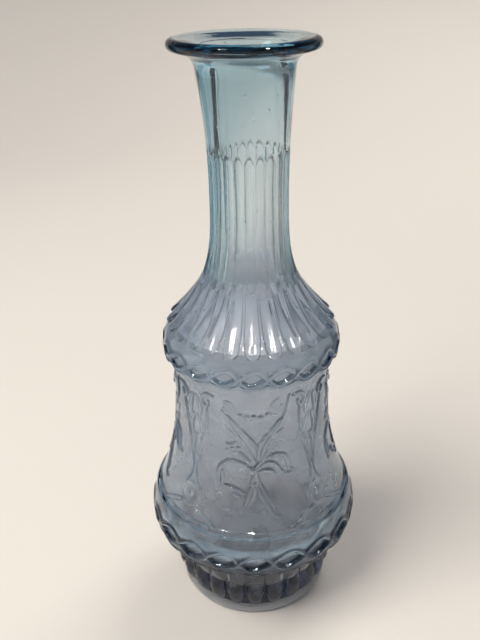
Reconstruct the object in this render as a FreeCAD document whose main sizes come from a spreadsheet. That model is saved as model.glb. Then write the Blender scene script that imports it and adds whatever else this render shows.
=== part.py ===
"""An antique mould-blown glass bottle with a flanged lip, as a FreeCAD document.

The glass is built as the zones that its mould gave it, one above the other, each zone a solid of its own
that meets the next face to face: floor, foot with its bosses, cable ring, waisted wall, cable ring, gadrooned
shoulder, fluted neck, plain neck and lip. The raised ornament of the four panels sits on the waisted wall.

Millimetres, +Z up, origin at the centre of the standing face. The front panel faces -Y.
"""

import FreeCAD
import Part
import Sketcher
import math
import os
from FreeCAD import Placement, Rotation, Vector

SIZES = {
    # Heights of the zones, from the standing face up
    "foot_height": 32.0,
    "lower_ring_height": 24.0,
    "body_height": 68.5,
    "upper_ring_height": 13.5,
    "shoulder_height": 22.0,
    "fluted_neck_height": 52.0,
    "plain_neck_height": 26.0,
    "lip_height": 12.0,
    # The way in, and the glass round it
    "bore_radius": 12.0,
    "wall_thickness": 3.8,
    # Floor and foot
    "base_radius": 33.4,
    "base_rim_height": 4.5,
    "base_edge_round": 1.6,
    "foot_wall": 4.4,
    "foot_step": 1.0,
    "foot_flare": 2.6,
    "foot_top_wall": 5.5,
    "floor_thickness": 9.5,
    "floor_recess": 1.0,
    "floor_crown": 1.5,
    "kick_height": 3.0,
    "kick_share": 0.76,
    "boss_count": 24,
    "boss_level": 16.4,
    "boss_height": 23.6,
    "boss_width": 9.4,
    "boss_depth": 4.0,
    "boss_overhang": 3.6,
    # Cable rings: the band behind the links, the links and the eyes in them
    "link_count": 20,
    "link_tilt": 12.0,
    "lower_band_inset": 0.2,
    "lower_band_level": 4.2,
    "lower_band_curve": 20.6,
    "lower_inner_curve": 22.0,
    "lower_link_overhang": 4.4,
    "lower_link_level": 11.2,
    "lower_link_depth": 3.4,
    "lower_link_length": 17.6,
    "lower_link_height": 16.0,
    "lower_eye_length": 10.4,
    "lower_eye_height": 6.8,
    "lower_eye_depth": 1.5,
    "upper_band_curve": 12.6,
    "upper_link_overhang": 3.3,
    "upper_link_level": 6.4,
    "upper_link_depth": 2.8,
    "upper_link_length": 13.6,
    "upper_link_height": 12.0,
    "upper_eye_length": 8.0,
    "upper_eye_height": 5.0,
    "upper_eye_depth": 1.2,
    # Waisted wall, with the ledge that the lower ring leaves round its bottom
    "body_bottom_radius": 43.8,
    "body_ledge": 1.2,
    "waist_radius": 33.3,
    "waist_level": 46.0,
    "body_top_radius": 34.2,
    # Gadrooned shoulder and fluted neck
    "lobe_count": 24,
    "shoulder_step": 0.6,
    "shoulder_fall": 1.58,
    "lobe_depth": 1.7,
    "lobe_tip_length": 3.0,
    "neck_foot_wall": 7.0,
    "slim_wall": 3.6,
    "slim_level": 36.0,
    "neck_fall": 2.7,
    "flute_depth": 0.6,
    "flute_tip_length": 3.0,
    # Plain neck and lip
    "flute_top_wall": 3.9,
    "neck_top_wall": 6.2,
    "neck_flare_curve": 280.0,
    "lip_overhang": 9.7,
    "lip_edge": 4.0,
    "lip_under_round": 3.6,
    "lip_dish": 1.4,
    "mouth_round": 3.2,
    # Raised ornament of the panels, measured from the ribbon's knot
    "relief_height": 0.8,
    "relief_clearance": 0.1,
    "knot_level": 29.0,
    "knot_radius": 1.8,
    "ribbon_width": 1.6,
    "bow_reach": 17.0,
    "bow_droop": 2.3,
    "bow_rise": 5.0,
    "bow_sag": 2.8,
    "tail_length": 19.0,
    "tail_width": 3.2,
    "tail_spread": 17.0,
    "leaf_length": 32.5,
    "leaf_width": 2.8,
    "leaf_spread": 23.0,
    "short_leaf_length": 26.0,
    "short_leaf_spread": 12.7,
    "stem_length": 14.0,
    "stem_width": 1.2,
    "stem_spread": 42.0,
    "petal_count": 5,
    "petal_length": 3.8,
    "petal_width": 2.6,
    "flower_eye_radius": 1.0,
    # Scroll ribs between the panels, back to back over a roundel
    "scroll_bottom": 8.0,
    "scroll_top": 56.0,
    "scroll_spread": 6.0,
    "scroll_gap": 1.6,
    "scroll_width": 1.8,
    "roundel_level": 12.0,
    "roundel_radius": 4.0,
    "roundel_bead_radius": 1.5,
}

# Where each zone ends, as expressions on the sheet
ZONES = ("foot", "lower_ring", "body", "upper_ring", "shoulder", "fluted_neck", "plain_neck", "lip")
TOP = {
    zone: " + ".join(f"Sizes.{below}_height" for below in ZONES[: order + 1])
    for order, zone in enumerate(ZONES)
}
# Radii that follow from others, as expressions on the sheet
FLOOR = "(Sizes.base_radius - Sizes.foot_wall)"
FOOT_TOP = "(Sizes.base_radius + Sizes.foot_flare)"
FOOT_TOP_INSIDE = f"({FOOT_TOP} - Sizes.foot_top_wall)"
SHOULDER = "(Sizes.body_top_radius + Sizes.shoulder_step)"
NECK_FOOT = "(Sizes.bore_radius + Sizes.neck_foot_wall)"
SLIM = "(Sizes.bore_radius + Sizes.slim_wall)"
FLUTE_TOP = "(Sizes.bore_radius + Sizes.flute_top_wall)"
NECK_TOP = "(Sizes.bore_radius + Sizes.neck_top_wall)"
LIP = f"({NECK_TOP} + Sizes.lip_overhang)"
LINK_REACH = {
    "lower": "(Sizes.body_bottom_radius + Sizes.lower_link_overhang)",
    "upper": "(Sizes.body_top_radius + Sizes.upper_link_overhang)",
}
PANEL_NAMES = ("front", "right", "back", "left")
# Shares of the way up at which the ribbed zones get a section, above the tips of their ribs
SHOULDER_STATIONS = (0.3, 0.5, 0.75, 1)
NECK_STATIONS = (0.2, 0.45, 0.7, 1)
# A lobe's tip is round: part of the way along it the lobe has this share of its full depth
TIP_SHARE, TIP_FULLNESS = 1 / 3, 0.75
FRONT = Vector(0, -1, 0)
AXIS = Vector(0, 0, 1)

doc = FreeCAD.newDocument("bottle")
sheet = doc.addObject("Spreadsheet::Sheet", "Sizes")
for row, (name, value) in enumerate(SIZES.items(), start=1):
    sheet.set(f"A{row}", name)
    sheet.set(f"B{row}", str(value))
    sheet.setAlias(f"B{row}", name)
doc.recompute()


def size(expression):
    """The number that an expression on the sheet gives."""
    return float(sheet.evalExpression(str(expression)))


def level(zone):
    """Height of a zone's top."""
    return size(TOP[zone])


def inner(radius):
    """Expression of the inside radius of a wall, from its outside radius."""
    return f"{radius} - Sizes.wall_thickness"


def swept_radius(rise, run):
    """Expression of the radius of an arc that leaves upright and runs out by run over a rise."""
    return f"(({rise})^2 + ({run})^2) / (2 * ({run}))"


def arc_between(start, end, radius, side):
    """The short arc between two points whose middle lies on that side of the chord.

    Given with it is the order of the arc's own ends, 1 and 2, because arcs run anticlockwise."""
    chord = end - start
    outward = Vector(-chord.y, chord.x, 0).normalize() * (1 if side == "left" else -1)
    centre = (start + end) * 0.5 - outward * math.sqrt(radius**2 - (chord.Length / 2) ** 2)
    first, last, order = (end, start, (2, 1)) if side == "left" else (start, end, (1, 2))
    angles = [math.atan2(p.y - centre.y, p.x - centre.x) for p in (first, last)]
    return Part.ArcOfCircle(Part.Circle(centre, AXIS, radius), *angles), order


def outline_sketch(body, corners):
    """A closed outline in the XZ plane, radius across and height up, pinned to the sheet.

    Each corner is (radius, height) or (radius, height, arc radius, "left" or "right"): the edge that leaves
    the corner is a line, or an arc whose middle lies on that side of its chord."""
    sketch = body.newObject("Sketcher::SketchObject", body.Name + "_outline")
    plane = next(f for f in body.Origin.OriginFeatures if f.Role == "XZ_Plane")
    sketch.AttachmentSupport = [(plane, "")]
    sketch.MapMode = "FlatFace"
    points = [Vector(size(corner[0]), size(corner[1]), 0) for corner in corners]
    ends = []
    for i, corner in enumerate(corners):
        start, end = points[i], points[(i + 1) % len(points)]
        if len(corner) == 2:
            edge, order = Part.LineSegment(start, end), (1, 2)
        else:
            edge, order = arc_between(start, end, size(corner[2]), corner[3])
        ends.append((sketch.addGeometry(edge), *order))
    for i, corner in enumerate(corners):
        edge, first, _ = ends[i]
        before, _, last = ends[i - 1]
        sketch.addConstraint(Sketcher.Constraint("Coincident", before, last, edge, first))
        for kind, axis, place in (("DistanceX", -2, corner[0]), ("DistanceY", -1, corner[1])):
            if place == "0":
                sketch.addConstraint(Sketcher.Constraint("PointOnObject", edge, first, axis))
            else:
                pin = sketch.addConstraint(Sketcher.Constraint(kind, -1, 1, edge, first, size(place)))
                sketch.setExpression(f"Constraints[{pin}]", place)
        if len(corner) > 2:
            pin = sketch.addConstraint(Sketcher.Constraint("Radius", edge, size(corner[2])))
            sketch.setExpression(f"Constraints[{pin}]", corner[2])
    return sketch


def turned_body(label, corners):
    """A body turned about the bottle's axis from its outline."""
    body = doc.addObject("PartDesign::Body", label)
    sketch = outline_sketch(body, corners)
    turned = body.newObject("PartDesign::Revolution", label + "_turned")
    turned.Profile = sketch
    turned.ReferenceAxis = (sketch, ["V_Axis"])
    turned.Angle = 360
    doc.recompute()
    return body


def ellipsoid(body, kind, name, place, axes, tilt="0"):
    """An ellipsoid added to a body or taken from it, on the X side of the axis.

    place is (distance from the axis, height), and axes the full depth, width and height."""
    feature = body.newObject(f"PartDesign::{kind}Ellipsoid", name)
    feature.Placement = Placement(Vector(), Rotation(Vector(1, 0, 0), size(tilt)))
    feature.setExpression("Placement.Base.x", place[0])
    feature.setExpression("Placement.Base.z", place[1])
    if tilt != "0":
        feature.setExpression("Placement.Rotation.Angle", tilt)
    for radius, axis in zip(("Radius2", "Radius3", "Radius1"), axes):
        feature.setExpression(radius, f"({axis}) / 2")
    doc.recompute()
    return feature


def repeat_round(body, features, count):
    """The features repeated evenly round the axis."""
    pattern = body.newObject("PartDesign::PolarPattern", body.Name + "_pattern")
    pattern.Originals = features
    axis = next(f for f in body.Origin.OriginFeatures if f.Role == "Z_Axis")
    pattern.Axis = (axis, [""])
    pattern.Angle = 360
    pattern.setExpression("Occurrences", count)
    body.Tip = pattern
    doc.recompute()


def floor_disc():
    """The floor, let into the foot, with the pushed-up kick under it."""
    kick = f"{FLOOR} * Sizes.kick_share"
    kick_curve = swept_radius(kick, "Sizes.kick_height - Sizes.floor_recess")
    crown_curve = swept_radius(FLOOR, "Sizes.floor_crown")
    return turned_body(
        "floor_disc",
        [
            ("0", "Sizes.kick_height", kick_curve, "left"),
            (kick, "Sizes.floor_recess"),
            (FLOOR, "Sizes.floor_recess"),
            (FLOOR, "Sizes.floor_thickness", crown_curve, "right"),
            ("0", "Sizes.floor_thickness + Sizes.floor_crown"),
        ],
    )


def foot_ring():
    """The standing ring, and the wall above it with its row of upright bosses."""
    body = turned_body(
        "foot_ring",
        [
            (FLOOR, "0"),
            ("Sizes.base_radius - Sizes.base_edge_round", "0", "Sizes.base_edge_round", "right"),
            ("Sizes.base_radius", "Sizes.base_edge_round"),
            ("Sizes.base_radius", "Sizes.base_rim_height"),
            ("Sizes.base_radius + Sizes.foot_step", "Sizes.base_rim_height + Sizes.base_edge_round"),
            (FOOT_TOP, TOP["foot"]),
            (FOOT_TOP_INSIDE, TOP["foot"]),
            (FLOOR, "Sizes.floor_thickness"),
        ],
    )
    boss = ellipsoid(
        body,
        "Additive",
        "boss",
        ("Sizes.base_radius + Sizes.boss_overhang - Sizes.boss_depth", "Sizes.boss_level"),
        ("2 * Sizes.boss_depth", "Sizes.boss_width", "Sizes.boss_height"),
    )
    repeat_round(body, [boss], "Sizes.boss_count")
    return body


def cable_links(body, ring, below):
    """Slanted oval links round a ring's band, each with a hollow eye."""
    reach, middle = LINK_REACH[ring], f"{below} + Sizes.{ring}_link_level"
    depth, eye_depth = f"Sizes.{ring}_link_depth", f"Sizes.{ring}_eye_depth"
    link = ellipsoid(
        body,
        "Additive",
        ring + "_link",
        (f"{reach} - {depth}", middle),
        (f"2 * {depth}", f"Sizes.{ring}_link_length", f"Sizes.{ring}_link_height"),
        "Sizes.link_tilt",
    )
    eye = ellipsoid(
        body,
        "Subtractive",
        ring + "_eye",
        (reach, middle),
        (f"2 * {eye_depth}", f"Sizes.{ring}_eye_length", f"Sizes.{ring}_eye_height"),
        "Sizes.link_tilt",
    )
    repeat_round(body, [link, eye], "Sizes.link_count")


def lower_cable_ring():
    """The widest zone: a round band that overhangs the foot, with the lower row of links."""
    body = turned_body(
        "lower_cable_ring",
        [
            (FOOT_TOP_INSIDE, TOP["foot"]),
            (FOOT_TOP, TOP["foot"]),
            (
                "Sizes.body_bottom_radius - Sizes.lower_band_inset",
                TOP["foot"] + " + Sizes.lower_band_level",
                "Sizes.lower_band_curve",
                "right",
            ),
            ("Sizes.body_bottom_radius + Sizes.body_ledge", TOP["lower_ring"]),
            (
                inner("Sizes.body_bottom_radius"),
                TOP["lower_ring"],
                "Sizes.lower_inner_curve",
                "left",
            ),
        ],
    )
    cable_links(body, "lower", TOP["foot"])
    return body


def body_outline(outside, offset="0"):
    """Corners of the waisted wall's outside, from the bottom up, moved out by offset."""
    bottom = f"Sizes.body_bottom_radius + {offset}"
    waist = f"Sizes.waist_radius + {offset}"
    flare = swept_radius("Sizes.waist_level", "Sizes.body_bottom_radius - Sizes.waist_radius")
    waist_height = TOP["lower_ring"] + " + Sizes.waist_level"
    top = (f"Sizes.body_top_radius + {offset}", TOP["body"])
    if outside:
        return [(bottom, TOP["lower_ring"], flare, "left"), (waist, waist_height), top]
    return [top, (waist, waist_height, flare, "right"), (bottom, TOP["lower_ring"])]


def body_wall():
    """The waisted wall that carries the panels."""
    return turned_body(
        "body_wall", body_outline(True) + body_outline(False, "(-Sizes.wall_thickness)")
    )


def relief_shell():
    """The layer of glass over the waisted wall that the raised ornament stands in."""
    shell = turned_body(
        "relief_shell",
        body_outline(True, "Sizes.relief_height") + body_outline(False, "Sizes.relief_clearance"),
    )
    return shell.Shape.copy()


def upper_cable_ring():
    """The band between wall and shoulder, with the upper row of links."""
    body = turned_body(
        "upper_cable_ring",
        [
            (inner("Sizes.body_top_radius"), TOP["body"]),
            ("Sizes.body_top_radius", TOP["body"], "Sizes.upper_band_curve", "right"),
            (SHOULDER, TOP["upper_ring"]),
            (inner(SHOULDER), TOP["upper_ring"]),
        ],
    )
    cable_links(body, "upper", TOP["body"])
    return body


def polar(radius, angle, height):
    return Vector(radius * math.cos(angle), radius * math.sin(angle), height)


def ribbed_wire(height, radius, rise):
    """One level of the ribbed glass: arcs that rise over lobes or, where rise is negative, sink into flutes."""
    count = int(size("Sizes.lobe_count"))
    half = math.pi / count
    edges = []
    for k in range(count):
        middle = 2 * half * k
        ends = [polar(radius, middle + side * half, height) for side in (-1, 1)]
        top = polar(radius + rise, middle, height)
        edges.append(Part.Arc(ends[0], top, ends[1]).toShape())
    return Part.Wire(edges)


def circle_wire(height, radius):
    return Part.Wire(Part.makeCircle(radius, Vector(0, 0, height)))


def ribbed_tube(label, levels):
    """A ribbed tube lofted through levels of (height, radius, rise of the ribs, inside radius)."""
    outside = Part.makeLoft([ribbed_wire(z, radius, rise) for z, radius, rise, _ in levels], True)
    inside = Part.makeLoft([circle_wire(z, radius) for z, _, _, radius in levels], True)
    feature = doc.addObject("Part::Feature", label)
    feature.Shape = outside.cut(inside)
    return feature


def falling(start, end, share, power):
    """Radius at a share of the way up a curve that falls from start to end and levels out there."""
    return end + (start - end) * (1 - share) ** power


def gadrooned_shoulder():
    """The shoulder: fingers of glass that swell downwards and end in round tips."""
    bottom, height = level("upper_ring"), size("Sizes.shoulder_height")
    wall = size("Sizes.wall_thickness")
    depth, tip = size("Sizes.lobe_depth"), size("Sizes.lobe_tip_length") / height
    sections = [(0, 0), (tip * TIP_SHARE, TIP_FULLNESS), (tip, 1)]
    sections += [(share, 1 - share**2) for share in SHOULDER_STATIONS]
    levels = []
    for share, fullness in sections:
        valley = falling(size(SHOULDER), size(NECK_FOOT), share, size("Sizes.shoulder_fall"))
        levels.append((bottom + share * height, valley, fullness * depth, valley - wall))
    return ribbed_tube("gadrooned_shoulder", levels)


def fluted_neck():
    """The neck's lower part, slim in the middle: hollow flutes over the lobes, round at both ends."""
    bottom, height = level("shoulder"), size("Sizes.fluted_neck_height")
    slim_level, bore = size("Sizes.slim_level"), size("Sizes.bore_radius")
    depth, tip = size("Sizes.flute_depth"), size("Sizes.flute_tip_length")
    fall, top_radius = size("Sizes.neck_fall"), size(FLUTE_TOP)
    levels = []
    for share in (0, tip / slim_level, *NECK_STATIONS):
        radius = falling(size(NECK_FOOT), size(SLIM), share, fall)
        inside = falling(size(inner(NECK_FOOT)), bore, share, fall)
        levels.append((bottom + share * slim_level, radius, -depth if share else 0, inside))
    levels.append((bottom + height - tip, top_radius, -depth, bore))
    levels.append((bottom + height, top_radius, 0, bore))
    return ribbed_tube("fluted_neck", levels)


def plain_neck():
    """The neck's smooth upper part, which widens towards the lip."""
    return turned_body(
        "plain_neck",
        [
            ("Sizes.bore_radius", TOP["fluted_neck"]),
            (FLUTE_TOP, TOP["fluted_neck"], "Sizes.neck_flare_curve", "left"),
            (NECK_TOP, TOP["plain_neck"]),
            ("Sizes.bore_radius", TOP["plain_neck"]),
        ],
    )


def lip_flange():
    """The wide tooled lip: round edge, dished top and rounded mouth."""
    under = f"{TOP['lip']} - Sizes.lip_edge"
    rim = f"{LIP} - Sizes.lip_edge / 2"
    mouth = f"{TOP['lip']} - Sizes.lip_dish"
    return turned_body(
        "lip_flange",
        [
            ("Sizes.bore_radius", TOP["plain_neck"]),
            (NECK_TOP, TOP["plain_neck"]),
            (NECK_TOP, f"{under} - Sizes.lip_under_round", "Sizes.lip_under_round", "left"),
            (f"{NECK_TOP} + Sizes.lip_under_round", under),
            (rim, under, "Sizes.lip_edge / 2", "right"),
            (LIP, f"{TOP['lip']} - Sizes.lip_edge / 2", "Sizes.lip_edge / 2", "right"),
            (rim, TOP["lip"]),
            ("Sizes.bore_radius + Sizes.mouth_round", mouth, "Sizes.mouth_round", "right"),
            ("Sizes.bore_radius", f"{mouth} - Sizes.mouth_round"),
        ],
    )


def blade(start, end, bulges):
    """A face between two points of the panel, bounded by two arcs.

    Each bulge is how far the middle of an arc lies from the chord, to the right when looking along it."""
    right = FRONT.cross(end - start).normalize() * -1
    middle = (start + end) * 0.5
    sides = [Part.Arc(start, middle + right * bulge, end).toShape() for bulge in bulges]
    return Part.Face(Part.Wire(sides))


def leaf(start, end, width):
    return blade(start, end, (width / 2, -width / 2))


def disc(centre, radius):
    return Part.Face(Part.Wire(Part.makeCircle(radius, centre, FRONT)))


def at_angle(start, length, degrees):
    """The point at a length from start, degrees away from straight up, to the right if positive."""
    turn = math.radians(degrees)
    return start + Vector(math.sin(turn), 0, math.cos(turn)) * length


def above_ring(across, height):
    """A point of the panel, measured from its middle and from the bottom of the waisted wall."""
    return Vector(across, 0, level("lower_ring") + height)


def bouquet_faces():
    """A pair of long leaves on each side, and under them a stem with a flower."""
    knot = above_ring(0, size("Sizes.knot_level"))
    width = size("Sizes.leaf_width")
    petals = int(size("Sizes.petal_count"))
    faces = []
    for side in (-1, 1):
        for kind in ("leaf", "short_leaf"):
            length, spread = size(f"Sizes.{kind}_length"), size(f"Sizes.{kind}_spread")
            faces.append(leaf(knot, at_angle(knot, length, side * spread), width))
        head = at_angle(knot, size("Sizes.stem_length"), side * size("Sizes.stem_spread"))
        faces.append(leaf(knot, head, size("Sizes.stem_width")))
        faces.append(disc(head, size("Sizes.flower_eye_radius")))
        for petal in range(petals):
            tip = at_angle(head, size("Sizes.petal_length"), 360 * petal / petals)
            faces.append(leaf(head, tip, size("Sizes.petal_width")))
    return faces


def bow_faces():
    """A ribbon bow: its knot, a drooping loop on each side and two tails."""
    knot = above_ring(0, size("Sizes.knot_level"))
    rise, sag = size("Sizes.bow_rise"), size("Sizes.bow_sag")
    ribbon = size("Sizes.ribbon_width")
    faces = [disc(knot, size("Sizes.knot_radius"))]
    for side in (-1, 1):
        end = knot + Vector(side * size("Sizes.bow_reach"), 0, -size("Sizes.bow_droop"))
        inset = (end - knot).normalize() * (2 * ribbon)
        loop = blade(knot, end, (-side * rise, side * sag))
        hole = blade(knot + inset, end - inset, (-side * (rise - ribbon), side * (sag - ribbon)))
        faces.append(loop.cut(hole))
        tail = at_angle(knot, size("Sizes.tail_length"), 180 - side * size("Sizes.tail_spread"))
        faces.append(leaf(knot, tail, size("Sizes.tail_width")))
    return faces


def scroll_faces():
    """Two curved ribs back to back, parting below round a beaded roundel."""
    spread, gap, width = (size(f"Sizes.scroll_{part}") for part in ("spread", "gap", "width"))
    roundel = above_ring(0, size("Sizes.roundel_level"))
    radius = size("Sizes.roundel_radius")
    faces = [
        disc(roundel, radius).cut(disc(roundel, radius - size("Sizes.ribbon_width"))),
        disc(roundel, size("Sizes.roundel_bead_radius")),
    ]
    for side in (-1, 1):
        bottom = above_ring(side * spread, size("Sizes.scroll_bottom"))
        top = above_ring(side * spread, size("Sizes.scroll_top"))
        inward = -side * (spread - gap / 2)
        faces.append(blade(bottom, top, (inward, inward + side * width)))
    return faces


def raised(faces, shell):
    """Ornament raised on the front of the wall: the faces carried out into the shell."""
    reach = size("Sizes.body_bottom_radius + Sizes.body_ledge + Sizes.relief_height")
    columns = [face.extrude(FRONT * reach) for face in faces]
    return columns[0].multiFuse(columns[1:]).common(shell)


def panel_ornament():
    """The ornament of every panel, and the scrolls between the panels."""
    shell = relief_shell()
    bow = raised(bow_faces(), shell)
    bouquet = raised(bouquet_faces(), shell).cut(bow)
    scroll = raised(scroll_faces(), shell)
    step = 360 / len(PANEL_NAMES)
    features = []
    for order, panel in enumerate(PANEL_NAMES):
        for kind, shape, turn in (("bouquet", bouquet, 0), ("bow", bow, 0), ("scroll_after", scroll, 0.5)):
            feature = doc.addObject("Part::Feature", f"{kind}_{panel}")
            feature.Shape = Part.makeCompound(shape.Solids)
            feature.Placement = Placement(Vector(), Rotation(AXIS, (order + turn) * step))
            features.append(feature)
    return features


def main():
    pieces = [
        floor_disc(),
        foot_ring(),
        lower_cable_ring(),
        body_wall(),
        upper_cable_ring(),
        gadrooned_shoulder(),
        fluted_neck(),
        plain_neck(),
        lip_flange(),
    ]
    pieces += panel_ornament()
    doc.recompute()
    failed = [o.Label for o in doc.Objects if {"Invalid", "Error"} & set(o.State)]
    failed += [p.Label for p in pieces if p.Shape.isNull() or not p.Shape.isValid()]
    if failed:
        raise RuntimeError(f"these objects failed: {failed}")
    os.makedirs("parts", exist_ok=True)
    for piece in pieces:
        piece.Shape.exportStep(f"parts/{piece.Label}.step")
        print(f"{piece.Label}: {len(piece.Shape.Solids)} solids, {piece.Shape.Volume:.0f} mm3")


main()
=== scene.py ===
"""An antique moulded bottle of aqua glass, standing on a pale floor in soft studio light.

Every piece of glass is a closed surface round the upright axis: a ring, a disc for the floor, or a
sector for one panel of the body.  The bottle's lengths are in millimetres until its points are handed
to a mesh, and the stage's are in metres.  The angle round the axis is zero at the front (-Y) and grows
toward +X.
"""

import math

import bpy
import numpy as np
from mathutils import Matrix, Vector


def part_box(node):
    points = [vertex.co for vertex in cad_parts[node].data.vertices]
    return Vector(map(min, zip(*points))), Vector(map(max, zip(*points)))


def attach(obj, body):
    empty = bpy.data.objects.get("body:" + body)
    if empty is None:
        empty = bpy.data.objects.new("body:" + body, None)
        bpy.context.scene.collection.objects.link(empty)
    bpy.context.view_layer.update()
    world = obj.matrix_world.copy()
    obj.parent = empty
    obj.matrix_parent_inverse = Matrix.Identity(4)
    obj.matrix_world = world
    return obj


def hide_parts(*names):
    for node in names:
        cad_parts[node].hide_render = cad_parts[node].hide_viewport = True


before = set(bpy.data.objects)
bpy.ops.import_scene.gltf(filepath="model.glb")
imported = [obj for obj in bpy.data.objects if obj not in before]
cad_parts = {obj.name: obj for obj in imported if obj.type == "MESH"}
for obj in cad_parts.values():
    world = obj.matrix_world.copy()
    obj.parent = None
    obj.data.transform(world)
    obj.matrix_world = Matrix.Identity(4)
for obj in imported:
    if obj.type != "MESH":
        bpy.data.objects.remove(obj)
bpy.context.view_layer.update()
MM = 0.001


def top_of(node):
    """Height of the upper end of a CAD node."""
    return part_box(node)[1].z / MM


# Heights of the joints between the zones of the wall, bottom to top
FOOT_TOP = top_of("foot_ring")
BODY_LOW = top_of("lower_cable_ring")
BODY_HIGH = top_of("body_wall")
SHOULDER_LOW = top_of("upper_cable_ring")
NECK_LOW = top_of("gadrooned_shoulder")
FLUTE_HIGH = top_of("fluted_neck")
LIP_LOW = top_of("plain_neck")
LIP_HIGH = top_of("lip_flange")

# Heights of the floor's outer edge below and above, of the waist and of the slimmest part of the neck
FLOOR_EDGE_LOW = 1.0
FLOOR_EDGE_HIGH = 14.5
WAIST_LEVEL = 102.0
SLIM_LEVEL = 196.0

# Radii from bottom to top, outside where the name does not say inside
FLOOR_RADIUS = 29.0
FOOT_RADIUS = 36.0
FOOT_INSIDE = 30.5
BODY_BOTTOM = 43.8
WAIST = 33.3
BODY_TOP = 34.2
SHOULDER_RADIUS = 34.8
SHOULDER_INSIDE = 31.0
NECK_FOOT = 18.7
NECK_SLIM = 15.5
FLUTE_TOP = 15.9
NECK_TOP = 18.2
LIP_RADIUS = 27.9
BORE = 12.0

# Radius and height of the edge where the lip's top turns down into the mouth
MOUTH_EDGE = (16.2, 247.4)

# Thickness of the body's wall, and of the neck's at its foot
WALL = 3.8

# Ornament counts
LOBES = 24
BOSSES = 24
LINKS = 20
SIDES = ("front", "right", "back", "left")
PANELS = len(SIDES)

# Room left at each joint, and the share of a profile that its thin end rows take
HAIRLINE = 0.01
THIN_ROW = 0.001

# Faults of hand work: the bore runs off centre, the inside ripples, and the top of the neck leans
OFF_CENTRE = 1.1
RIPPLE_HEIGHT = 0.07
LEAN = 1.1
LEAN_FROM = 200.0
LEAN_RISE = 50.0


# Curves and grids

PROFILE_STEPS = 1500


def turn_angles(around):
    """Evenly spaced angles round the axis, as one row."""
    return np.linspace(0.0, 2.0 * math.pi, around, endpoint=False)[None, :]


def row_shares(count):
    """Places from 0 to 1 with one hair-thin row at each end, so shading runs straight over a joint."""
    middle = np.linspace(0.0, 1.0, count - 2)
    return np.concatenate([[0.0, THIN_ROW], middle[1:-1], [1.0 - THIN_ROW, 1.0]])


def row_picks(rows, count):
    """A few rows out of many, keeping the thin end rows."""
    middle = np.linspace(1, rows - 2, count - 2).round().astype(int)
    return np.concatenate([[0], middle, [rows - 1]])


def zone_levels(low, high, rows):
    """Heights from one joint to the next, a hairline short of both."""
    return low + HAIRLINE + (high - low - 2.0 * HAIRLINE) * row_shares(rows)


def smooth_line(points, shares):
    """A smooth line through 2-D points, sampled at shares of its length.

    Between two points it is the cubic whose slopes at the ends follow the neighbouring points.
    """
    points = np.asarray(points, float)
    chord = np.concatenate([[0.0], np.cumsum(np.linalg.norm(np.diff(points, axis=0), axis=1))])
    slope = np.gradient(points, chord, axis=0)
    fine = np.linspace(0.0, chord[-1], PROFILE_STEPS)
    piece = np.clip(np.searchsorted(chord, fine, "right") - 1, 0, len(chord) - 2)
    width = np.diff(chord)[piece]
    t = ((fine - chord[piece]) / width)[:, None]
    width = width[:, None]
    line = (
        (2 * t**3 - 3 * t**2 + 1) * points[piece]
        + (t**3 - 2 * t**2 + t) * width * slope[piece]
        + (3 * t**2 - 2 * t**3) * points[piece + 1]
        + (t**3 - t**2) * width * slope[piece + 1]
    )
    run = np.concatenate([[0.0], np.cumsum(np.linalg.norm(np.diff(line, axis=0), axis=1))])
    wanted = run[-1] * shares
    return np.stack([np.interp(wanted, run, line[:, axis]) for axis in (0, 1)], axis=-1)


def wall_line(points, rows):
    """A smooth wall profile of (radius, height) rows with thin rows at both ends."""
    return smooth_line(points, row_shares(rows))


def step(value, low, high):
    """Smooth step from 0 at low to 1 at high."""
    t = np.clip((value - low) / (high - low), 0.0, 1.0)
    return t * t * (3.0 - 2.0 * t)


def ridge(gap, width):
    """Bell-shaped ridge of height 1: e to the power of minus the square of gap over width."""
    return np.exp(-((gap / width) ** 2))


def dome(off, power):
    """Dome of height 1 that ends where off is 1: a power of one less the square of off."""
    return np.clip(1.0 - off**2, 0.0, None) ** power


def wrapped(turn, count):
    """Place across one of count equal shares of the turn, from -0.5 to 0.5 with 0 at its middle."""
    place = turn * count / (2.0 * math.pi)
    return place - np.round(place)


def falling(start, end, share, bend):
    """Radius that falls from start to end, steeply at first and levelling out: a power of 1 - share."""
    return end + (start - end) * np.clip(1.0 - share, 0.0, 1.0) ** bend


def raised(line, height):
    """Radius and height grids of a wall profile pushed out along its own normal by a height grid."""
    along = np.gradient(line, axis=0)
    along /= np.linalg.norm(along, axis=1, keepdims=True)
    radius = line[:, :1] + height * along[:, 1:]
    level = line[:, 1:] - height * along[:, :1]
    return radius, level


def spread(line, turn):
    """Radius and height grids of a plain turned profile."""
    return raised(line, np.zeros_like(turn))


def inside(line, turn):
    """Grids of an inner wall from top to bottom: turned, a little off centre in the neck and wavy.

    The wave is a sum of three slow ripples in angle and height, the same for every zone, and it dies
    out toward the floor.
    """
    radius, level = spread(line[::-1], turn)
    off_centre = OFF_CENTRE * step(level, 130.0, 190.0) * (1.0 - step(level, 236.0, 246.0))
    ripple = (
        np.sin(3.0 * turn + level / 9.0)
        + np.sin(5.0 * turn - level / 6.0 + 1.0)
        + np.sin(2.0 * turn + level / 4.5 + 2.0)
    )
    share = np.clip(radius / FLOOR_RADIUS, 0.8, 1.0) * step(level, 14.0, 24.0)
    return radius + off_centre * np.sin(turn) + RIPPLE_HEIGHT * share * ripple, level


# Materials

GLASS_INDEX = 1.5
TINT_STRENGTH = 80.0
# Share of painted shade in the hollow creases of the relief
CREASE_SHADE_STRENGTH = 0.75

# Sockets of a colour mix, which share their names with those of a mix of plain values
MIX_SHARE = 0
MIX_FROM = 6
MIX_TO = 7
MIX_RESULT = 2


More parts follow.
